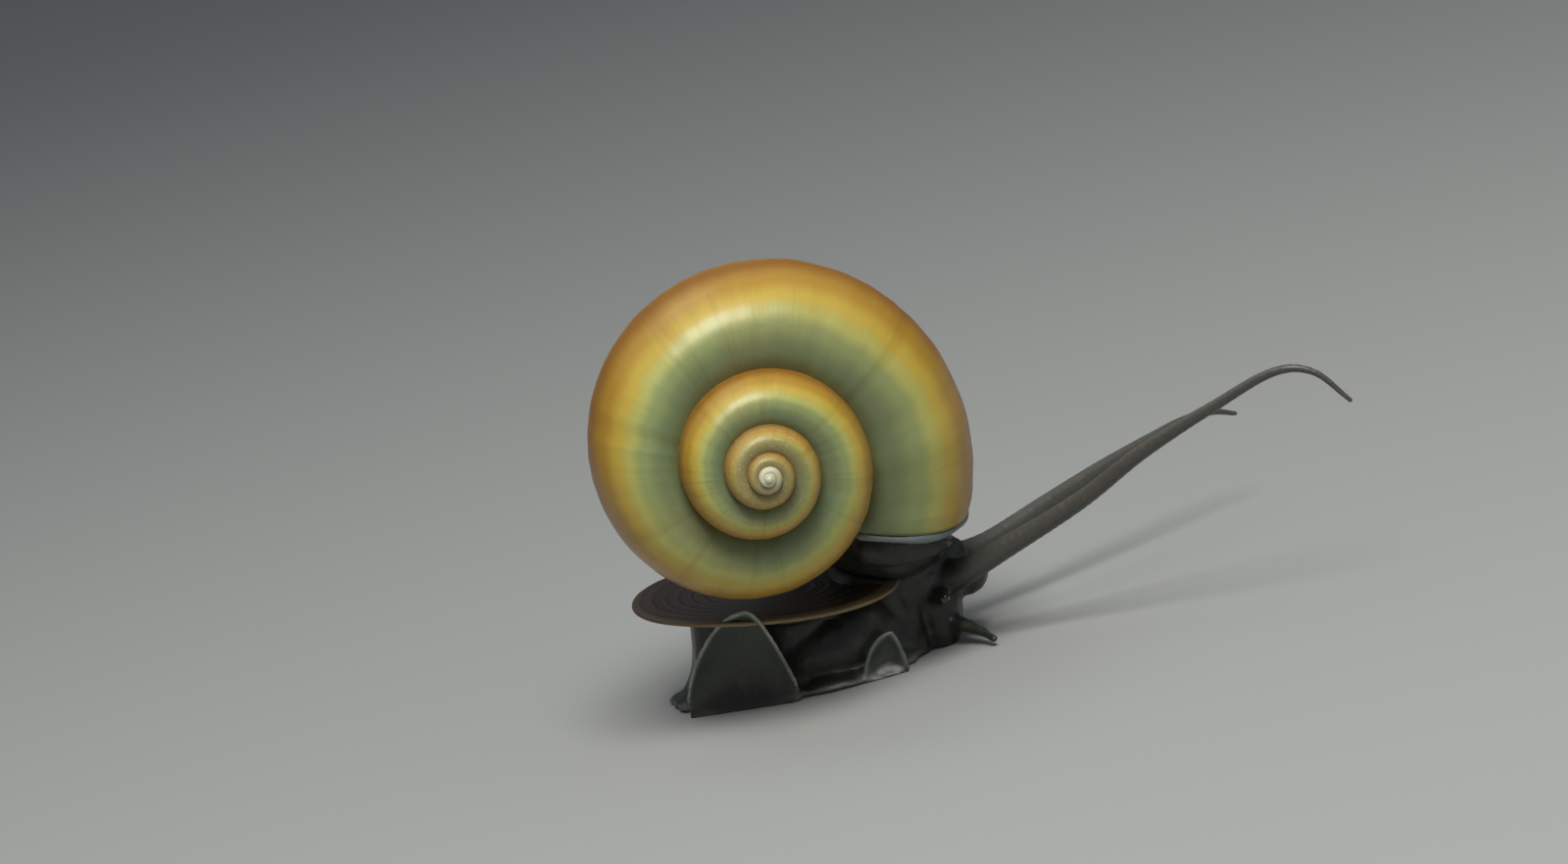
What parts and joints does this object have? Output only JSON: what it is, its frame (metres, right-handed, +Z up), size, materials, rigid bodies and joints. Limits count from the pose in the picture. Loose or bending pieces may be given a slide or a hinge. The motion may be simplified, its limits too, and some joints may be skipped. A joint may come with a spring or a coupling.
{
  "type": "apple snail",
  "caption": "Life-size apple snail crawling with its coiled shell's spire turned to its right side, operculum on the back of the foot, and long feelers held out ahead.",
  "frame": {"origin": "middle of the sole, on the floor", "axes": "+X the way the animal crawls, +Y to the animal's left, +Z up; the spire of the shell points to -Y"},
  "size_m": [0.0733, 0.0583, 0.0436],
  "materials": {
    "shell": "satin",
    "operculum": "satin",
    "skin": "wet",
    "mantle": "wet",
    "eye": "gloss"
  },
  "bodies": {
    "root": {"shell": "shell", "operculum": "operculum", "mantle_collar": "mantle", "foot_rear": "skin", "foot_front": "skin", "foot_fold_rear": "skin", "foot_fold_front": "skin", "neck": "skin", "head": "skin", "snout": "skin", "siphon": "skin", "nuchal_lobe_right": "skin", "tentacle_right_base": "skin", "tentacle_right_middle": "skin", "tentacle_right_tip": "skin", "tentacle_left_base": "skin", "tentacle_left_middle": "skin", "tentacle_left_tip": "skin", "palp_right": "skin", "palp_left": "skin", "eye_stalk_right": "skin", "eye_stalk_left": "skin", "eye_right": "eye", "eye_left": "eye"}
  },
  "joints": []
}
